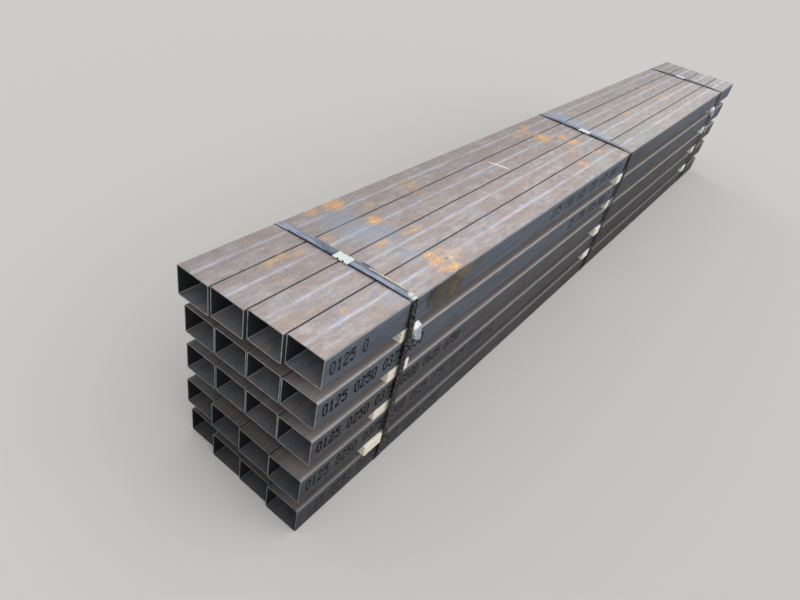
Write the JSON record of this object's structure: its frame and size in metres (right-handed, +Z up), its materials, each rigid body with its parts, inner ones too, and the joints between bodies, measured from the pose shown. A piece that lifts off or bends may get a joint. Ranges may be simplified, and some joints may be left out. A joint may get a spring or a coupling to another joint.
{
  "type": "bundle of rectangular steel tubes",
  "caption": "Strapped bundle of rectangular steel tubes in layers kept apart by sawn wooden laths, lying on the ground.",
  "frame": {"origin": "on the ground, under the middle of the bundle", "axes": "+X along the tubes from the near end in the picture to the far end, +Y to the left as seen from the near end, +Z up"},
  "size_m": [4.455, 0.5614, 0.6989],
  "materials": {
    "tube_steel": "mill scale from rolling, matt to satin, with a little surface rust",
    "lath_wood": "rough sawn softwood",
    "strap_steel": "blued and waxed steel strapping",
    "seal_steel": "galvanised, crimped"
  },
  "bodies": {
    "root": {"layer_1_tube_1": "tube_steel", "layer_1_tube_2": "tube_steel", "layer_1_tube_3": "tube_steel", "layer_1_tube_4": "tube_steel", "layer_2_tube_1": "tube_steel", "layer_2_tube_2": "tube_steel", "layer_2_tube_3": "tube_steel", "layer_2_tube_4": "tube_steel", "layer_3_tube_1": "tube_steel", "layer_3_tube_2": "tube_steel", "layer_3_tube_3": "tube_steel", "layer_3_tube_4": "tube_steel", "layer_4_tube_1": "tube_steel", "layer_4_tube_2": "tube_steel", "layer_4_tube_3": "tube_steel", "layer_4_tube_4": "tube_steel", "layer_5_tube_1": "tube_steel", "layer_5_tube_2": "tube_steel", "layer_5_tube_3": "tube_steel", "layer_5_tube_4": "tube_steel", "near_lath_1": "lath_wood", "near_lath_2": "lath_wood", "near_lath_3": "lath_wood", "near_lath_4": "lath_wood", "near_strap": "strap_steel", "near_seal": "seal_steel", "middle_lath_1": "lath_wood", "middle_lath_2": "lath_wood", "middle_lath_3": "lath_wood", "middle_lath_4": "lath_wood", "middle_strap": "strap_steel", "middle_seal": "seal_steel", "far_lath_1": "lath_wood", "far_lath_2": "lath_wood", "far_lath_3": "lath_wood", "far_lath_4": "lath_wood", "far_strap": "strap_steel", "far_seal": "seal_steel"}
  },
  "joints": []
}
